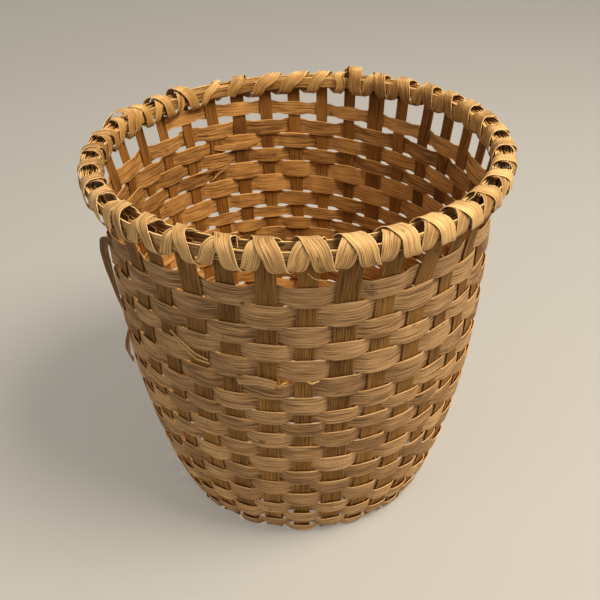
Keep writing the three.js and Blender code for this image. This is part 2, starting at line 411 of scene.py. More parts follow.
def grow(name, tree, values, line=None):
    """Runs a tree with its named values, on a line where it needs one."""
    piece = new_object(name, line or bpy.data.meshes.new(name + "_start"))
    modifier = piece.modifiers.new("grow", "NODES")
    modifier.node_group = tree
    for item in tree.interface.items_tree:
        if item.in_out == "INPUT" and item.name in values:
            modifier[item.identifier] = values[item.name]
    depsgraph = bpy.context.evaluated_depsgraph_get()
    mesh = bpy.data.meshes.new_from_object(piece.evaluated_get(depsgraph))
    piece.modifiers.clear()
    piece.data = mesh
    mesh.name = name
    for attribute in [a.name for a in mesh.attributes]:
        if attribute in helper_values:
            mesh.attributes.remove(mesh.attributes[attribute])
    shell = bmesh.new()
    shell.from_mesh(mesh)
    bmesh.ops.recalc_face_normals(shell, faces=shell.faces)
    shell.to_mesh(mesh)
    shell.free()
    mesh.shade_smooth()
    mesh.set_sharp_from_angle(angle=sharp_edge)
    return piece


def skin_values(wander, ridge, seed, finish):
    """What every strip gives to the skin."""
    return {"Edge wander": wander, "Ridge height": ridge, "Seed": seed, "Finish": finish}


def seat(piece, slot, *nodes):
    """Hangs a finished piece on the frame, in place of its CAD nodes; the slot is not used."""
    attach(piece, "root")
    if nodes:
        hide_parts(*nodes)
    return piece


print("edges are sharp from", round(math.degrees(sharp_edge)), "degrees on")

# %% [markdown]
# The wood. Splint is dry and unvarnished: fine fibres run along the strip, broader streaks
# of early and late wood lie under them, and the cut edges are paler, a paleness that is also
# a painted highlight. The outside of a basket greys in the light while its inside keeps a
# warmer, more orange tone; the inward tint is also painted light and shade, brightening the
# weavers' inside and darkening the lashings' inner faces. The lower wall is painted paler, as
# painted light.
# Each of these effects is a node group, so that the stakes, weavers and lashings can share
# them with their own colours and strengths.

# %% Make the wood's node groups
SHADER_TREE = "ShaderNodeTree"

grain_outputs = ("Fibre", "Streak", "Patch", "Piece", "Crack", "Fleck", "Knot", "Height")
grain_group, given = new_tree(
    "splint_fibres",
    [("Fibre spacing", FLOAT), ("Streak spacing", FLOAT)],
    SHADER_TREE,
    [(label, FLOAT) for label in grain_outputs],
)
grain = add_node(grain_group, "ShaderNodeAttribute", output="Vector", attribute_name="grain")
grain_x, grain_y, grain_z = parts_of(grain_group, grain)


def wood_noise(along, across, apart, detail=0.0):
    """Noise that changes so often in a metre along the strip, and from piece to piece."""
    return noise(grain_group, grain_x * along, across, grain_z * apart, detail)


fibre = wood_noise(36.0, grain_y.run("DIVIDE", given["Fibre spacing"]), 40.0, detail=3.0)
streak = wood_noise(18.0, grain_y.run("DIVIDE", given["Streak spacing"]), 11.0, detail=2.0)
patch = wood_noise(18.0, grain_y * 40.0, 9.0, detail=2.0)
crack = wood_noise(9.0, grain_y * 520.0, 17.0, detail=1.0)
whole = wood_noise(2.0, 0.5, 13.0)
fleck = wood_noise(260.0, grain_y * 420.0, 23.0, detail=1.0)
knot = wood_noise(90.0, grain_y * 170.0, 31.0)
finish_tree(
    grain_group,
    {
        "Fibre": fibre,
        "Streak": streak,
        "Patch": patch,
        "Piece": whole,
        "Crack": ramp(grain_group, crack, 0.15, 0.23),
        "Fleck": ramp(grain_group, fleck, 0.27, 0.32),
        "Knot": ramp(grain_group, knot, 0.29, 0.34),
        "Height": fibre * 0.65 + streak * 0.8 - ramp(grain_group, crack, 0.14, 0.24) * 0.5,
    },
)


# Up to this height the lower wall's painted light is in full.
full_light_height = 100 * MM


def object_place(tree):
    return add_node(tree, "ShaderNodeTexCoord", output="Object")


inward_group, given = new_tree(
    "inward_faces", [("Level", FLOAT)], SHADER_TREE, (("Inward", FLOAT),)
)
place_x, place_y, _ = parts_of(inward_group, object_place(inward_group))
from_axis = vector_run(inward_group, "NORMALIZE", vector_of(inward_group, place_x, place_y, 0.0))
normal = add_node(inward_group, "ShaderNodeNewGeometry", output="Normal")
facing_in = vector_run(inward_group, "DOT_PRODUCT", from_axis, normal, output="Value")
outward_part = ramp(inward_group, facing_in - given["Level"], -0.15, 0.15)
finish_tree(inward_group, {"Inward": -outward_part + 1.0})

# Painted light: 1 low on the wall, fading to 0 up to Top, so that the lower wall is painted paler.
lower_wall_light_group, given = new_tree("lower_wall_painted_light", [("Top", FLOAT)], SHADER_TREE, (("Painted light", FLOAT),))
_, _, place_z = parts_of(lower_wall_light_group, object_place(lower_wall_light_group))
finish_tree(lower_wall_light_group, {"Painted light": -ramp(lower_wall_light_group, place_z, full_light_height, given["Top"]) + 1.0})
print("wood groups", [grain_group.name, inward_group.name, lower_wall_light_group.name])

# %% [markdown]
# One function mixes every finish: plain wood, pulled to dark and to pale by the grain, then
# crossed by cracks, flecks and knots, paled at the edges, which is partly a painted highlight,
# painted paler low on the wall as painted light, and tinted where it faces inwards, partly the
# warmer inside wood and partly painted light and shade. What differs from piece to piece is a
# row of tones and strengths. An image of wood would be quicker, but it would repeat, and it
# wouldn't follow each strip round its bends.
# The one stain, on the top row at the front right, is a mask at its own place.

# %% Mix the wood finishes
def tone(code):
    """A colour written as six digits, turned into the linear values that nodes use."""
    parts = [part / 255 for part in bytes.fromhex(code)]
    return (*((p / 12.92 if p < 0.04045 else ((p + 0.055) / 1.055) ** 2.4) for p in parts), 1)


def mix_colour(tree, factor, first, second, blend_type="MIX"):
    """A Mix node for colours, whose colour sockets are inputs 6 and 7 and output 2."""
    sockets = {"Factor": factor, 6: first, 7: second}
    return add_node(tree, "ShaderNodeMix", sockets, 2, data_type="RGBA", blend_type=blend_type)


def new_material(name):
    """A new material with its tree and its shader."""
    material = bpy.data.materials.new(name)
    material.use_nodes = True
    tree = material.node_tree
    return material, tree, tree.nodes["Principled BSDF"]


stain_side = math.radians(19.3)
stain_height = 342 * MM
weave_half = 2.5 * MM
stain_centre = radial(stain_side) * float(wall_radius(stain_height) + weave_half)
stain_centre[2] = stain_height
stain_size = 6.5 * MM
stain_lines = 2.3 * MM
stain_fray = 400.0


def stain_dashes(tree):
    """The small stain, which took only on every other line of the wood."""
    place = object_place(tree)
    parts = parts_of(tree, place)
    frayed = noise(tree, *[part * stain_fray for part in parts]) * stain_size
    away = vector_run(tree, "DISTANCE", place, stain_centre.tolist(), output="Value")
    near = -ramp(tree, away + frayed, 0.7 * stain_size, stain_size) + 1.0
    lines = (parts[2] * (math.tau / stain_lines)).run("SINE")
    return near * ramp(tree, lines, -0.1, 0.4)


# What multiplies the colour of the faces that look inwards: partly the warmer tone of the
# less weathered inside wood, and partly painted light and shade, as the weavers' tint brightens
# the inside and the lashings' tint darkens their inner faces. And what multiplies the lower
# wall as painted light.
warm_inside_painted_light = (1.28, 1.06, 0.64, 1.0)
brown_inside = (1.08, 0.87, 0.55, 1.0)
plain_inside = (1.0, 0.88, 0.66, 1.0)
dim_inside_painted_shade = (0.78, 0.69, 0.53, 1.0)
# Painted light on the lower wall: how much paler, and the height where it has faded out.
lower_wall_light_gain = (1.24, 1.24, 1.22, 1.0)
lower_wall_light_top = 300 * MM
bump_depth = 0.6 * MM


def splint_wood(
    name, tones, inside, fibre_mm, streak_mm, fine, broad, bump, roughness, level=0.0, stained=False
):
    """A wood finish: pale, plain and dark tones, and what tints the inward faces."""
    pale, plain, dark = (tone(code) for code in tones.split())
    material, tree, shader = new_material(name)

    def group(node_tree, **sockets):
        return add_node(tree, "ShaderNodeGroup", sockets, node_tree=node_tree)

    spacings = {"Fibre spacing": fibre_mm * MM, "Streak spacing": streak_mm * MM}
    grain_sockets = group(grain_group, **spacings).socket.node.outputs
    grain = {label: Wire(tree, grain_sockets[label]) for label in grain_outputs}
    edge = add_node(tree, "ShaderNodeAttribute", output="Fac", attribute_name="edge")

    shade = grain["Fibre"] * fine + grain["Streak"] * broad
    shade = shade + grain["Patch"] * 0.7 + grain["Piece"] * 0.6
    colour = plain
    for mask, other in (
        (ramp(tree, -shade, 0.0, 0.36), dark),
        (ramp(tree, shade, 0.0, 0.36), pale),
        (grain["Crack"] * 0.8, dark),
        (grain["Fleck"] * 0.7, dark),
        (grain["Knot"] * 0.8, dark),
        # Pale edges: the paler cut wood, and also a painted highlight.
        (edge * 0.9, pale),
    ):
        colour = mix_colour(tree, mask, colour, other)
    # Painted light: the lower wall is multiplied paler.
    colour = mix_colour(tree, group(lower_wall_light_group, Top=lower_wall_light_top), colour, lower_wall_light_gain, "MULTIPLY")
    # The inward tint: partly the warmer inside wood, partly painted light and shade.
    colour = mix_colour(tree, group(inward_group, Level=level), colour, inside, "MULTIPLY")
    if stained:
        colour = mix_colour(tree, stain_dashes(tree) * 0.85, colour, tone("2a2018"))
    plug(colour, shader.inputs["Base Color"])
    plug(grain["Fibre"] * 0.25 + roughness, shader.inputs["Roughness"])
    shader.inputs["Specular IOR Level"].default_value = 0.2
    sockets = {"Height": grain["Height"], "Strength": bump, "Distance": bump_depth}
    plug(add_node(tree, "ShaderNodeBump", sockets), shader.inputs["Normal"])
    return material


print("stain centre", [round(float(value), 4) for value in stain_centre])

# %% Give each kind of splint its finish
# Tones, inward tint, fibre and streak in mm, strength of both, bump and roughness. Where it
# isn't the usual one, also the level from which a face looks inwards, and if it is stained.
finishes = {
    "stake": ("966a35 775223 482b0e", brown_inside, 0.45, 0.80, 1.9, 0.7, 0.60, 0.80),
    "weaver": ("bd9667 977148 563a20", warm_inside_painted_light, 0.42, 0.80, 2.8, 0.8, 0.70, 0.74, 0.0, True),
    "lashing": ("e1ba7d bd925b 6f4c26", dim_inside_painted_shade, 0.42, 0.70, 1.9, 0.6, 0.45, 0.55, -0.45),
    "rim_filler": ("d8af74 a57a46 553818", plain_inside, 0.45, 1.00, 1.6, 1.20, 0.60, 0.72),
    "rim_hoop": ("e2bb80 9a6f3e 4d3218", plain_inside, 0.45, 1.00, 1.6, 1.20, 0.60, 0.70),
    "tail": ("b99463 8f6c44 563c20", warm_inside_painted_light, 0.45, 0.90, 1.5, 0.90, 0.50, 0.70),
}
wood = {kind: splint_wood(f"{kind}_splint_wood", *row) for kind, row in finishes.items()}
print("finishes", [material.name for material in wood.values()])

# %% [markdown]
# The eighteen long splints. Each runs down one wall, under and over the nine that cross it
# in the base, and up the other wall, so its path is drawn point by point in code and handed
# to the strip skin as a line that carries its facing and width.
# The stakes of the real basket differ by a few millimetres in width and stand up to a
# couple of millimetres out of true; a seeded random draw and the front stakes' own widths
# give that.

# %% Choose the stakes' widths and leans
draw = np.random.default_rng(36)
stake_widths = 17.6 * MM + draw.uniform(-0.9, 1.3, stake_count) * MM
seen_widths = {
    -3: 19.6, -2: 17.4, -1: 18.0, 0: 17.2, 1: 20.6, 2: 17.6, 3: 18.8, 4: 15.5, 5: 16.5,
    12: 16.5, 13: 15.2, 14: 14.8, 15: 20.0, 16: 13.6, 17: 13.4, 18: 14.8, 19: 14.8, 20: 16.4,
    21: 14.8, 22: 13.0, 23: 12.8, 24: 13.0, 25: 14.5,
}
for seen_place, seen_width in seen_widths.items():
    stake_widths[seen_place + middle_splint] = seen_width * MM
stake_sway = draw.uniform(-0.35, 0.35, stake_count) * stake_step * 0.1

# Degrees that a few stakes lean at their top, and the height where that begins.
top_leans = {2: 0.8, 3: 3.0, 4: 1.2, -6: 0.8, 13: -0.8}
lean_start = 285 * MM
print("stake widths from", min(stake_widths).round(4), "to", max(stake_widths).round(4))

# %% Draw the splint paths
low_level = stake_thickness / 2 + 0.1 * MM
high_level = low_level + stake_thickness + 0.3 * MM
flat_end_radius = foot_radius - 7 * MM
crossing_half = 9.05 * MM
base_width = 17.3 * MM
base_steps = 90
wall_start = 9 * MM
wall_step = 4 * MM
bend_pull = np.array([0.75, 0.75, 0.12])


def splint_offset(i):
    return foot_radius * math.sin(stake_azimuth(i - middle_splint, foot_height))


def wall_half(place, side):
    """The points up one wall, with the way that the splint's width lies and its width there."""
    top = stake_top + rim_lift(place * stake_step)
    z = np.concatenate([[foot_height], np.arange(wall_start, top - 1 * MM, wall_step), [top]])
    stake = int(place + middle_splint) % stake_count
    sway = stake_sway[stake] * np.sin(math.pi * np.clip(z / top, 0, 1))
    leaning = top_leans.get(place, 0.0) * ease((z - lean_start) / (top - lean_start))
    azimuth = stake_azimuth(place, z) + sway + np.radians(leaning)
    points = radial(azimuth) * wall_radius(z)[:, None]
    points[:, 2] = z
    beside = radial(azimuth + math.pi / 2) * side
    return points, beside, np.full(len(z), stake_widths[stake])


def base_run(i, side_to_side):
    """The points across the base, low and high by turns where the other splints cross."""
    offset = splint_offset(i)
    edge = splint_offset(splints_each_way - 1) + crossing_half
    end = max(math.sqrt(max(flat_end_radius ** 2 - offset ** 2, 0)), edge)
    s = np.arange(-end, end + 1e-6, 2 * end / base_steps)
    parity = i + (splints_each_way if side_to_side else 0)
    both = (low_level, high_level)
    levels = [both[(parity + j) % 2] for j in range(splints_each_way)]
    z = np.full(len(s), levels[0])
    for j in range(1, splints_each_way):
        start = splint_offset(j - 1) + crossing_half
        stop = splint_offset(j) - crossing_half
        z = z + (levels[j] - levels[j - 1]) * ease((s - start) / (stop - start))
    along = np.array([1.0, 0, 0]) if side_to_side else np.array([0, 1.0, 0])
    beside = np.array([0, -1.0, 0]) if side_to_side else np.array([1.0, 0, 0])
    points = s[:, None] * along + offset * beside
    points[:, 2] = z
    return points, np.tile(beside, (len(s), 1)), np.full(len(s), base_width)


def bend(before, after, steps=6):
    """A rounded corner from the flat base to the foot of the wall: far out while still low."""
    (p0, b0, w0), (p1, b1, w1) = before, after
    middle = p0 + (p1 - p0) * bend_pull
    t = np.linspace(0, 1, steps + 2)[1:-1, None]
    points = (1 - t) ** 2 * p0 + 2 * t * (1 - t) * middle + t ** 2 * p1
    return points, (1 - t) * b0 + t * b1, (1 - t[:, 0]) * w0 + t[:, 0] * w1


def line_mesh(name, points, **values):
    """An open line whose points carry named numbers or vectors."""
    mesh = bpy.data.meshes.new(name)
    mesh.from_pydata(points.tolist(), [(i, i + 1) for i in range(len(points) - 1)], [])
    for label, data in values.items():
        kind, field = (VECTOR, "vector") if data.ndim == 2 else ("FLOAT", "value")
        attribute = mesh.attributes.new(label, kind, "POINT")
        attribute.data.foreach_set(field, np.asarray(data, np.float32).ravel())
    return mesh


def splint_line(name, i, side_to_side):
    quarter = stake_count // 4
    front = i - middle_splint
    start_place = front - quarter if side_to_side else front
    end_place = quarter - front if side_to_side else stake_count // 2 - front
    down = wall_half(start_place, 1)
    flat = base_run(i, side_to_side)
    rising = wall_half(end_place, -1)
    first_bend = bend([part[0] for part in flat], [part[0] for part in down])
    last_bend = bend([part[-1] for part in flat], [part[0] for part in rising])
    backwards = [part[::-1] for part in down], [part[::-1] for part in first_bend]
    parts = zip(*backwards, flat, last_bend, rising)
    points, beside, width = (np.concatenate(part) for part in parts)
    facing = np.cross(beside, np.gradient(points, axis=0))
    facing = facing / np.linalg.norm(facing, axis=1)[:, None]
    thickness = np.full(len(points), stake_thickness)
    return line_mesh(name, points, facing=facing, width=width, thickness=thickness)


print("base levels", round(low_level, 5), round(high_level, 5))

# %% Grow the splints
path_strip, given = new_tree("path_strip", skin_inputs)
line = add_node(path_strip, "GeometryNodeMeshToCurve", {"Mesh": given["Path"]})
finish_tree(path_strip, {"Geometry": wrap(path_strip, line, given)})

splint_seed = 0.0
for i in range(splints_each_way):
    for family, side_to_side in (("front_back", False), ("side_side", True)):
        splint_seed += 1.0
        values = skin_values(0.05, 0.16 * MM, splint_seed, wood["stake"])
        node = f"splint_{family}_{i + 1}"
        line = splint_line(node + "_line", i, side_to_side)
        piece = grow(f"stake_{family}_{i + 1}", path_strip, values, line)
        seat(piece, "stake_splint", node)
print("last splint has", len(piece.data.polygons), "faces")

# %% [markdown]
# Weavers. Each row is one long splint that passes outside one stake and inside the next.
# It starts behind a stake at the back left, goes round by the front and climbs at the back
# to the height of the next row, whose beginning it meets. On the right it passes two stakes
# as one, so that the over and under change places behind. The last row ends under the rim.
# That is a rule, so one tree makes every row: the place round the basket decides how far
# the strip swings out or in. The same tree with no swing makes the hoops of the rim.

# %% Name what makes a ring
ring_values = (
    "Radius", "Middle height", "Lean", "Twist", "Crowding", "Swing", "Parity", "Start",
    "Overlap", "Climb", "Climb outwards", "Lap side", "Width", "Width change", "Spread",
    "Thickness", "Sway", "Rise", "Roll", "Waves", "Back shift", "Back rise", "Rim rise",
    "Dip", "Dip side", "Dip from", "Dip to", "Back narrowing",
)
ring_inputs = [(label, FLOAT) for label in ring_values] + [("Steps", WHOLE)] + skin_inputs[1:]
swing_sharpness = 2.0
lap_clearance = 1.15
back_rise_side = math.radians(215)

# Stakes are counted on from the start of a row, so the right side is in the second count.
double_stake = stake_count + middle_splint + 8.0
climb_from = stake_count + middle_splint + 11.2
climb_to = stake_count + middle_splint + 21.6
lap_from = stake_count - 1.1
lap_to = stake_count - 0.6


def behind_part(even):
    """0 at the front of the basket and 1 at the back."""
    return (even.run("COSINE") * -0.5 + 0.5).run("POWER", back_sharpness)


def risen_part(azimuth):
    """1 where the rim rises most and 0 across from there."""
    near = (azimuth - rim_rise_side).run("COSINE") * 0.5 + 0.5
    return near.run("POWER", rim_rise_sharpness)


def lay_round(tree, line, round_x, round_y, radius, height, out, up):
    """Puts the points of a line round the basket and stores the way that they face."""
    line = move(tree, line, vector_of(tree, round_x * radius, round_y * radius, height))
    facing = vector_of(tree, round_x * out, round_y * out, up)
    return carry(tree, line, "facing", facing, VECTOR)


def finish_strip(tree, line, width, given):
    """Stores a line's width and thickness, and ends its tree with the skin round it."""
    line = carry(tree, line, "width", width)
    line = carry(tree, line, "thickness", given["Thickness"])
    finish_tree(tree, {"Geometry": wrap(tree, line, given)})


print("ring inputs", len(ring_inputs))

# %% Build the ring tree
ring, given = new_tree("ring_strip", ring_inputs)
line = add_node(ring, "GeometryNodeCurvePrimitiveLine")
line = add_node(ring, "GeometryNodeResampleCurve", {"Curve": line, "Count": given["Steps"]})
share = add_node(ring, "GeometryNodeSplineParameter", output="Factor")
line = carry(ring, line, "turn", share)
stake = carried(ring, "turn") * (given["Overlap"] + float(stake_count)) + given["Start"]
even = (stake - float(middle_splint)) * stake_step
azimuth = even + given["Twist"] + given["Crowding"] * (even * 4.0).run("SINE")
azimuth = azimuth + behind_part(even) * given["Back shift"]
round_x = azimuth.run("SINE")
round_y = -azimuth.run("COSINE")
doubled = ramp(ring, stake, double_stake, double_stake + 1.0, "LINEAR")
out_and_in = ((stake + given["Parity"] - doubled) * math.pi).run("COSINE") * swing_sharpness
passing = out_and_in.run("TANH") * (1 / math.tanh(swing_sharpness))
swing = passing * given["Swing"]
row_end = given["Start"] + given["Overlap"]
lapped = ramp(ring, stake, row_end + lap_from, row_end + lap_to)
swing = swing + lapped * given["Thickness"] * given["Lap side"] * lap_clearance


def ring_noise(offset):
    """Noise that comes back to itself after one turn."""
    waves = given["Waves"]
    return noise(ring, round_x * waves, round_y * waves, given["Seed"] + offset, detail=1.0)


lean = given["Lean"] + given["Roll"] * ring_noise(0.31)
climbed = ramp(ring, stake, climb_from, climb_to, "LINEAR")
radius = given["Radius"] + swing * given["Lean"].run("COSINE") + given["Sway"] * ring_noise(0.57)
radius = radius + climbed * given["Climb outwards"]
height = given["Middle height"] - swing * given["Lean"].run("SINE")
height = height + given["Rise"] * ring_noise(0.83)
back_left = ramp(ring, (azimuth - back_rise_side).run("COSINE"), 0.35, 0.95)
height = height + climbed * given["Climb"]
height = height + back_left * given["Back rise"]
height = height + risen_part(azimuth) * given["Rim rise"]
near_dip = (azimuth - given["Dip side"]).run("COSINE")
dip = ramp(ring, near_dip, given["Dip from"], given["Dip to"]) * given["Dip"]
height = height - dip * 0.5
out, up = lean.run("COSINE"), -lean.run("SINE")
line = lay_round(ring, line, round_x, round_y, radius, height, out, up)
width = given["Width"] + given["Width change"] * ring_noise(0.19)
width = width + passing * passing * given["Spread"] - dip
width = width - ramp(ring, round_y, 0.2, 0.8) * given["Back narrowing"]
finish_strip(ring, line, width, given)
print("ring tree nodes", len(ring.nodes))

# %% [markdown]
# The rows take their heights and widths from the boxes of their CAD nodes, lowest first, and
# the rest from the wall. Rows could be given their small differences one by one, but a seed
# for each does that. A few are written out, because they show: the torn row near the front,
# and the two top rows, which are narrower behind.

# %% Weave the rows
weaver_swing = 2.1 * MM
top_climb = 24 * MM
torn_row = 14
narrower_behind = {19: 6.0 * MM, 18: 5.0 * MM}
back_rise = 4.0 * MM
full_rise_height = 170 * MM
last_rising_row = 17
foot_swing = 0.8 * MM
row_depth = 5.0 * MM
spare_width = 0.6 * MM

# In stakes: where the ends of a row meet, how far each goes on, and where the last row ends.
meeting_stake = 25
half_lap = 0.35
last_end = 26.7
still_ring = dict.fromkeys(ring_values, 0.0)
for number in range(1, row_count + 1):
    node = f"weaver_row_{number:02d}"
    low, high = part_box(node)
    middle = (low.z + high.z) / 2
    lean = float(wall_lean(middle))
    across_lean = (high.z - low.z - row_depth * math.sin(lean)) / math.cos(lean) + spare_width
    parity = (row_count - number - middle_splint) % 2
    start = meeting_stake + (meeting_stake + parity) % 2
    next_start = 2 * meeting_stake + 1 - start
    if number < row_count:
        next_low, next_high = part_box(f"weaver_row_{number + 1:02d}")
        climb = (next_low.z + next_high.z) / 2 - middle
    else:
        climb = top_climb
        next_start = last_end
    rise_behind = back_rise * float(ease(middle / full_rise_height))
    values = {
        **still_ring,
        "Radius": float(wall_radius(middle)),
        "Middle height": middle,
        "Lean": lean,
        "Twist": float(twist(middle)),
        "Crowding": float(crowding(middle)),
        "Swing": weaver_swing + foot_swing * float(crowding(middle)) / foot_crowding,
        "Parity": float(parity),
        "Start": start - half_lap,
        "Overlap": next_start - start + 2 * half_lap,
        "Climb": climb,
        "Climb outwards": float(wall_radius(middle + climb) - wall_radius(middle)),
        "Lap side": 1.0,
        "Width": across_lean,
        "Width change": 2.6 * MM,
        "Spread": 3.0 * MM,
        "Thickness": weaver_thickness,
        "Sway": 1.0 * MM,
        "Rise": 2.8 * MM,
        "Roll": 0.25,
        "Waves": 4.0,
        "Back shift": float(back_shift(middle)),
        "Back rise": rise_behind if number <= last_rising_row else 0.0,
        "Dip": 7.0 * MM if number == torn_row else 0.0,
        "Dip side": math.radians(-3.5),
        "Dip from": math.cos(math.radians(7.0)),
        "Dip to": math.cos(math.radians(3.0)),
        "Back narrowing": narrower_behind.get(number, 1.5 * MM),
        "Steps": 480,
        **skin_values(0.07, 0.10 * MM, 40.0 + number, wood["weaver"]),
    }
    piece = grow(f"weaver_{number:02d}", ring, values)
    seat(piece, "weaver_splint", node)
print("weavers", row_count, "faces each", len(piece.data.polygons))

# %% [markdown]
# The rim starts as a bundle of thin strips on edge, inside and outside the stake ends.
# Between the wraps they show as pale parallel lines with dark hollows, so each filler of the
# CAD becomes three strips and each hoop two, with heights of their own, that waver a little.
# They are rings with no swing, made by the same tree as the weavers.

# %% Lay the rim strips
rim_azimuth = float(twist(rim_middle))

# Kind, letter, and in mm: how far from the stakes, thickness, width, lift, waver and dip.
rim_strips = [
    ("filler", "a", 1.7, 0.9, 11.5, 0.0, 4.0, 8.0),
    ("filler", "b", 3.1, 0.8, 11.0, 0.8, 6.0, 8.0),
    ("filler", "c", 4.5, 0.9, 11.5, 0.3, 5.0, 8.0),
    ("hoop", "a", 6.3, 1.1, 12.0, 1.6, 3.0, 8.0),
    ("hoop", "b", 8.2, 1.3, 10.5, 2.6, 1.2, 0.0),
]
for kind, letter, away, thick, tall, lift, rise, dip in rim_strips:
    for side_name, sign in (("inner", -1), ("outer", 1)):
        seed = 70.0 + 3 * away + sign
        values = {
            **still_ring,
            "Radius": rim_radius + sign * away * MM,
            "Middle height": rim_middle + lift * MM,
            "Twist": rim_azimuth,
            "Start": (seed * 5.0) % stake_count,
            "Overlap": 1.5,
            "Width": tall * MM,
            "Width change": 2.5 * MM,
            "Thickness": thick * MM,
            "Sway": 0.6 * MM,
            "Rise": rise * MM,
            "Roll": 0.12,
            "Waves": 6.0,
            "Back shift": float(back_shift(rim_middle)),
            "Rim rise": rim_rise,
            "Dip": dip * MM,
            "Dip from": 0.2,
            "Dip to": 0.95,
            "Steps": 420,
            **skin_values(0.10, 0.2 * MM, seed, wood[f"rim_{kind}"]),
        }
        piece = grow(f"rim_strip_{side_name}_{kind}_{letter}", ring, values)
        seat(piece, f"rim_{kind}_splint", f"rim_{side_name}_{kind}")
print("rim strips", 2 * len(rim_strips))

# %% [markdown]
# Two lashings bind the bundle. Each is a flat splint wound round it once a stake: over the
# top above a stake, and under the rim through the open window beside it. They wind in
# opposite hands, so they cross on top of every stake.
# A winding is a rule, so a tree does it: the strip's place round the basket grows while it
# turns round the rim's section. What hands add comes in on the line that the tree winds: how
# wide the strip is, how far a turn drifts and how loose it is.

# %% Build the lashing tree
lashing_values = ("Hand", "Half breadth", "Half height", "Thickness")
lashing_inputs = [("Path", GEOMETRY)]
lashing_inputs += [(label, FLOAT) for label in lashing_values] + skin_inputs[1:]
loop_squareness = 2 / 2.9
loose_breadth = 0.45
narrower_below = 0.28

winding, given = new_tree("lashing_strip", lashing_inputs)
line = add_node(winding, "GeometryNodeMeshToCurve", {"Mesh": given["Path"]})
along_rim = carried(winding, "turn")
loop = along_rim * math.tau * given["Hand"] + math.pi / 2
loop_cos = loop.run("COSINE")
loop_sin = loop.run("SINE")
topness = ramp(winding, loop_sin, -0.2, 1.0)
bottomness = ramp(winding, -loop_sin, 0.0, 1.0)
lift = carried(winding, "looseness") * topness


def rounded(wire, half):
    """One coordinate of the rounded oblong that the lashing follows."""
    return wire.run("SIGN") * wire.run("ABSOLUTE").run("POWER", loop_squareness) * half


loop_out = rounded(loop_cos, given["Half breadth"] + lift * loose_breadth)
loop_up = rounded(loop_sin, given["Half height"] + lift)
even = (along_rim + carried(winding, "drift") * topness) * stake_step
azimuth = even + rim_azimuth + behind_part(even) * float(back_shift(rim_middle))
round_x = azimuth.run("SINE")
round_y = -azimuth.run("COSINE")
radius = loop_out + rim_radius
height = loop_up + risen_part(azimuth) * rim_rise + rim_middle
line = lay_round(winding, line, round_x, round_y, radius, height, loop_cos, loop_sin)
width = carried(winding, "width") * (-bottomness * narrower_below + 1.0)
finish_strip(winding, line, width, given)
print("lashing tree nodes", len(winding.nodes))

# %% [markdown]
# The habits of the hand that wound it. On the right the splint is wide and tight, and on the
# left it is half as wide and looser. Some turns stand proud or sit out of place, and for
# five stakes at the back left the second lashing is missing, so only one strip shows there.

# %% Wind the lashings
width_places = [-14, -9, -6, -4, -3, -2, -1, 0, 1, 2, 4, 8, 13, 16, 19, 22]
width_there = [10, 9, 10, 10.5, 10.5, 13, 15, 16, 17.5, 15.5, 15.5, 13, 13.5, 14, 12, 11]
steps_each_turn = 34
tight_side = math.radians(75)


def lashing_line(name, first, turns, odd_turns, seed):
    """The line to wind, with the width, drift and looseness of every point."""
    hand_draw = np.random.default_rng(seed)
    places = np.arange(math.floor(first), math.ceil(first + turns) + 1)
    home = (places - width_places[0]) % stake_count + width_places[0]
    rough = 0.5 - 0.5 * np.cos(home * stake_step - tight_side)
    width = np.interp(home, width_places, width_there)
    width = width * hand_draw.uniform(0.92, 1.08, len(places))
    drift = hand_draw.uniform(-0.09, 0.09, len(places)) * (0.5 + rough)
    looseness = hand_draw.uniform(0, 1.8, len(places)) * rough
    for i, place in enumerate(places):
        if place % stake_count in odd_turns:
            drift[i], looseness[i], width[i] = odd_turns[place % stake_count]
    turn = np.linspace(first, first + turns, int(turns * steps_each_turn))
    return line_mesh(
        name,
        np.outer(turn, (1.0, 0.0, 0.0)),
        turn=turn,
        drift=np.interp(turn, places, drift),
        looseness=np.interp(turn, places, looseness) * MM,
        width=np.interp(turn, places, width) * MM,
    )


# Turns that differ, by stake: how far they drift, how loose they are and how wide.
odd_under = {
    16: (0.3, 0.5, 9.5), 17: (-0.1, 1.0, 13.0), 18: (-0.3, 0.8, 15.0), 19: (-0.38, 1.0, 14.0),
    20: (-0.1, 2.2, 13.5), 21: (-0.35, 1.0, 8.0), 22: (0.1, 1.2, 9.0), 31: (-0.15, 1.2, 13.0),
    2: (-0.1, 0.0, 15.0),
}
odd_over = {
    16: (-0.2, 6.0, 15.0), 22: (0.1, 3.4, 12.5), 23: (0.0, 2.0, 11.0), 25: (-0.45, 4.5, 12.0),
    31: (0.1, 2.0, 9.5), 2: (0.1, 0.4, 15.5), 14: (0.0, 0.8, 15.0),
}
outer_layer = 1.25 * MM
lashings = {
    "rim_lashing_under": (1.0, 20.55, 35.74, 0.0, odd_under, 91),
    "rim_lashing_over": (-1.0, 21.5, 30.9, outer_layer, odd_over, 96),
}
for node, (hand, first, turns, outset, odd_turns, seed) in lashings.items():
    values = {
        "Hand": hand,
        "Half breadth": 10.0 * MM + outset,
        "Half height": 11.7 * MM + outset,
        "Thickness": 0.8 * MM,
        **skin_values(0.06, 0.08 * MM, float(seed), wood["lashing"]),
    }
    piece_name = node.replace("rim_", "") + "_splint"
    line = lashing_line(piece_name + "_line", first, turns, odd_turns, seed)
    piece = grow(piece_name, winding, values, line)
    seat(piece, "lashing_splint", node)
    print(piece.name, len(piece.data.polygons), "faces")

# %% [markdown]
# Loose ends. Each is one more path for the strip skin, written as a few stops: azimuth,
# height, distance from the wall, width and turn of the face. The stops could be a Bezier
# curve, but then they would be handles in space. As they are, each one says where the strand
# lies on the basket, so it can't come away from the wall by mistake.
# The tail is the end of a splint that came loose. It bends out over the top row on the left,
# bows, narrows to a point, slips under a row and curls out again below.

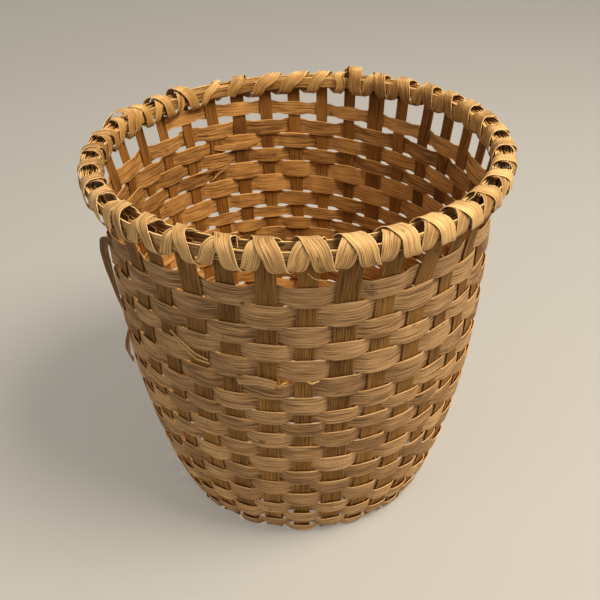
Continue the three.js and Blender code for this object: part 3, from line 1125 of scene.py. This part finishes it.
# %% Hang the loose tail
def strand(name, stops, thickness, seed, finish, slot, *nodes, steps=48):
    """A loose strip through its stops: degrees, mm up, mm out, mm wide, degrees turned or 0."""
    table = np.array([(*stop, 0)[:5] for stop in stops], float)
    share = np.linspace(0, len(table) - 1, steps)
    columns = [np.interp(share, np.arange(len(table)), column) for column in table.T]
    soft = np.array([1.0, 2.0, 3.0, 2.0, 1.0]) / 9
    columns = [np.convolve(np.pad(column, 2, "edge"), soft, "valid") for column in columns]
    azimuth, z, away, width, turn = columns
    azimuth = np.radians(azimuth)
    z = z * MM
    points = radial(azimuth) * (wall_radius(z) + away * MM)[:, None]
    points[:, 2] = z
    line = line_mesh(
        name + "_line",
        points,
        facing=radial(azimuth + np.radians(turn)),
        width=width * MM,
        thickness=np.full(steps, thickness * MM),
    )
    values = skin_values(0.15, 0.25 * thickness * MM, seed, finish)
    return seat(grow(name, path_strip, values, line), slot, *nodes)


tail_stops = [
    (-61, 326, -1, 8.0, 20), (-62, 331, 1.0, 8.5, 25), (-64, 335, 4, 8.5, 40),
    (-67, 330, 7, 9.0, 55), (-69.5, 314, 8, 9.0, 60), (-71, 292, 7, 8.0, 60),
    (-72, 274, 5.5, 6.5, 55), (-73, 252, 4, 4.5, 50), (-73.5, 236, 2.5, 2.0, 40),
    (-74, 224, 0.0, 2.5, 20), (-74, 212, -0.5, 3.5, 20), (-74, 202, 2.5, 4.5, 30),
    (-74, 191, 6.5, 5.5, 45), (-74, 181, 8.5, 6.5, 50), (-72.5, 174, 7.5, 7.0, 5),
    (-70, 175, 5, 6.0, -40),
]
piece = strand(
    "hanging_tail", tail_stops, 0.9, 120.0, wood["tail"], "tail_splint", "loose_tail", steps=110
)
heights = [corner[2] for corner in piece.bound_box]
print("tail from", round(min(heights), 3), "to", round(max(heights), 3))

# %% [markdown]
# Smaller ends: two slivers that split off on the front left, the broken end of the torn row
# with its splinters, a doubled end and two split tips inside, and a few fibres at the rim.
# Fresh breaks are paler than the weathered face, so the slivers and splinters take the
# finish of the lashings.

# %% Add the split slivers and broken ends
small_ends = {
    "sliver_upper": [
        (-35, 285, 3.2, 1.0), (-32, 280.5, 4.6, 1.8), (-27, 270, 5.0, 1.8), (-23.5, 264.5, 2.6, 1.0)
    ],
    "sliver_lower": [
        (-34, 279, 3.0, 1.0), (-31, 272, 4.2, 1.6), (-27, 263.5, 4.2, 1.6), (-23, 261, 2.6, 0.9)
    ],
    "broken_end": [
        (-16, 247, 0.2, 11.0), (-13, 250, 2.6, 12.0), (-9.5, 251, 3.9, 12.0),
        (-6.4, 249.5, 4.1, 11.0), (-5.0, 248, 3.8, 9.0),
    ],
    "broken_splinter": [(-4.6, 243, 1.6, 1.2), (-3.4, 250, 3.4, 1.6), (-2.0, 252, 2.6, 0.6)],
    "broken_sliver": [(3.0, 252, 1.2, 1.2), (4.4, 250.5, 3.4, 1.6), (6.4, 252.5, 2.6, 0.8)],
    "inner_lap": [
        (214, 322, -0.8, 5.0), (210.5, 320, -3.7, 7.5), (205.5, 318.5, -4.4, 8.0),
        (200, 319.5, -3.6, 7.0), (196.5, 321, -1.2, 5.0),
    ],
    "split_tip_upper": [
        (209, 297, -2.6, 5.0), (213, 295, -3.4, 4.0), (219, 296, -4.2, 2.4), (223, 297, -4.8, 0.6)
    ],
    "split_tip_lower": [(209, 293, -2.6, 4.0), (213, 289, -3.4, 3.0), (216.5, 282, -4.4, 0.6)],
}
for number, (name, stops) in enumerate(small_ends.items()):
    fresh = "sliver" in name or "splinter" in name
    finish = wood["lashing"] if fresh else wood["weaver"]
    strand(name, stops, 0.7, 130.0 + number, finish, "weaver_splint")
fibres = {
    "rim_fibre_front": [
        (3.6, 374, 8.5, 0.5), (5, 368, 9.0, 0.5), (7.4, 364, 8.0, 0.45), (8.6, 357, 5.0, 0.4)
    ],
    "rim_fibre_across": [(-12.5, 396, -7.0, 0.6), (-12, 397.5, -1.0, 0.6), (-11.2, 394, 6.5, 0.5)],
    "rim_fibre_left": [(-21, 397, -5.0, 0.7), (-24, 398, 0.0, 0.7), (-28, 396, 3.0, 0.5)],
    "rim_fibre_right": [(47, 398, -1.0, 0.8), (49, 401, 1.0, 0.7), (51, 402, -1.0, 0.5)],
}
for number, (name, stops) in enumerate(fibres.items()):
    strand(name, stops, 0.4, 140.0 + number, wood["lashing"], "lashing_splint", steps=20)
print("small ends", len(small_ends), "fibres", len(fibres))

# %% [markdown]
# The studio: a pale floor that carries the basket's shadow, a large warm lamp high on the
# right and a little in front, a weak one low beside it for the lower rows, a weak cool fill
# from the left and a pale, even surround. The floor's shadow would be too deep for a pale
# sheet. More light would also wash out the basket, so the floor and the surround only look
# paler to the rays that see them, and what they send to the basket stays the same.

# %% Light the basket
def seen_directly(tree):
    """1 for the rays that show a surface: straight on, in gloss or through glass."""
    rays = tree.nodes.new("ShaderNodeLightPath")
    seen = Wire(tree, rays.outputs["Is Camera Ray"])
    for label in ("Is Glossy Ray", "Is Transmission Ray"):
        seen = seen.run("MAXIMUM", Wire(tree, rays.outputs[label]))
    return seen


floor_mesh = bpy.data.meshes.new("floor")
reach = 60.0
floor_mesh.from_pydata(
    [(-reach, -reach, 0), (reach, -reach, 0), (reach, reach, 0), (-reach, reach, 0)],
    [],
    [(0, 1, 2, 3)],
)
floor = new_object("floor", floor_mesh)
floor_finish, floor_tree, floor_shader = new_material("pale_floor")
floor_shader.inputs["Roughness"].default_value = 0.9
floor_seen = seen_directly(floor_tree)
floor_tone = mix_colour(floor_tree, floor_seen, tone("b7b3ac"), tone("928e88"))
plug(floor_tone, floor_shader.inputs["Base Color"])
plug(floor_seen * 0.2, floor_shader.inputs["Emission Strength"])
floor_shader.inputs["Emission Color"].default_value = tone("fff4e2")
floor_mesh.materials.append(floor_finish)


def soft_lamp(name, place, size, power, colour):
    lamp = new_object(name, bpy.data.lights.new(name, "AREA"))
    lamp.data.shape = "DISK"
    lamp.data.size = size
    lamp.data.energy = power
    lamp.data.color = colour
    lamp.location = place
    aim = lamps_aim - Vector(place)
    lamp.rotation_euler = aim.to_track_quat("-Z", "Y").to_euler()


lamps_aim = Vector((0, 0, 0.25))
warm_light = (1.0, 0.93, 0.80)
cool_light = (0.96, 0.97, 1.0)
soft_lamp("key_lamp", (1.12, -0.46, 2.28), 1.2, 88, warm_light)
soft_lamp("side_lamp", (1.7, -0.9, 0.45), 1.0, 5, warm_light)
soft_lamp("fill_lamp", (-1.9, -1.3, 1.5), 1.8, 13, cool_light)
world = bpy.data.worlds.new("pale_surround")
scene.world = world
world.use_nodes = True
background = world.node_tree.nodes["Background"]
background.inputs["Color"].default_value = tone("e2e0da")
plug(seen_directly(world.node_tree) * 0.25 + 0.45, background.inputs["Strength"])
